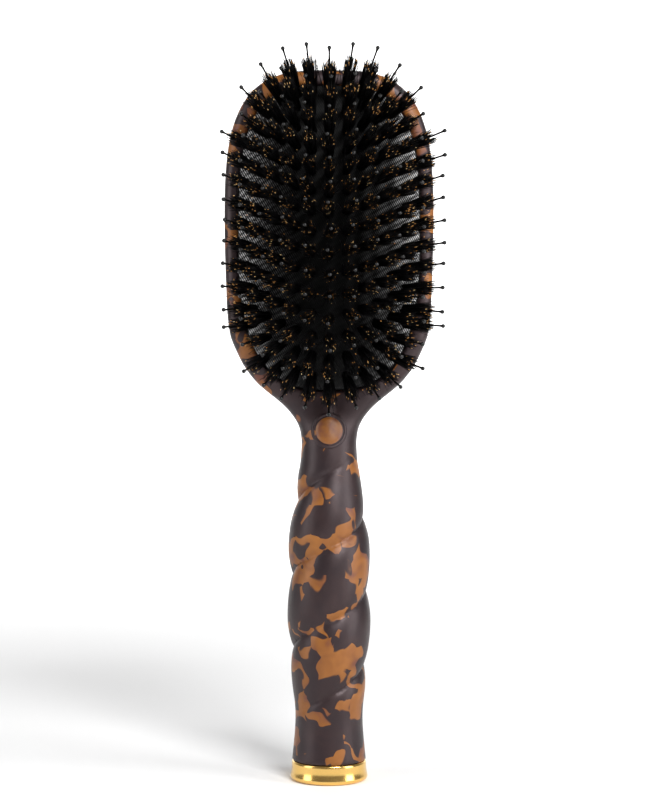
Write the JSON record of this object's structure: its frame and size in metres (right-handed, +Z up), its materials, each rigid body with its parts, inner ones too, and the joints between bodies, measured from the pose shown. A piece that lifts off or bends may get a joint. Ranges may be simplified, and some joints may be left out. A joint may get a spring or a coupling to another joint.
{
  "type": "cushion hairbrush",
  "caption": "Paddle hairbrush with ball-tipped pins and bristle tufts on a sprung rubber cushion, a rope-twist tortoiseshell handle and a polished gold base cap.",
  "frame": {"origin": "centre of the base cap's standing face, on the handle's axis", "axes": "+Z up the handle to the top of the head, bristles face -Y, +X across the head to the right seen from the bristle side"},
  "size_m": [0.0768, 0.0521, 0.2547],
  "materials": {
    "tortoiseshell": "satin moulded tortoiseshell pattern",
    "gold": "polished gold plating",
    "black_plastic": "moulded",
    "rubber": "fine woven texture",
    "nylon": "smooth moulded nylon",
    "bristle": "black bristle with golden-brown ends"
  },
  "bodies": {
    "brush": {"brush_body": "tortoiseshell", "base_cap": "gold", "pad_carrier": "black_plastic"},
    "cushion": {"cushion_pad": "rubber", "ball_pins_row_01": "nylon", "ball_pins_row_02": "nylon", "ball_pins_row_03": "nylon", "ball_pins_row_04": "nylon", "ball_pins_row_05": "nylon", "ball_pins_row_06": "nylon", "ball_pins_row_07": "nylon", "ball_pins_row_08": "nylon", "ball_pins_row_09": "nylon", "ball_pins_row_10": "nylon", "ball_pins_row_11": "nylon", "ball_pins_row_12": "nylon", "ball_pins_row_13": "nylon", "ball_pins_row_14": "nylon", "ball_pins_row_15": "nylon", "bristle_tufts_row_01": "bristle", "bristle_tufts_row_02": "bristle", "bristle_tufts_row_03": "bristle", "bristle_tufts_row_04": "bristle", "bristle_tufts_row_05": "bristle", "bristle_tufts_row_06": "bristle", "bristle_tufts_row_07": "bristle", "bristle_tufts_row_08": "bristle", "bristle_tufts_row_09": "bristle", "bristle_tufts_row_10": "bristle", "bristle_tufts_row_11": "bristle", "bristle_tufts_row_12": "bristle", "bristle_tufts_row_13": "bristle", "bristle_tufts_row_14": "bristle", "bristle_tufts_row_15": "bristle"}
  },
  "joints": [
    {"name": "cushion_press", "type": "slide", "parent": "brush", "child": "cushion", "axis": [0, 1, 0], "range_m": [0, 0.0035], "stiffness_N_per_m": 4000, "deforming": ["cushion_pad"]}
  ]
}
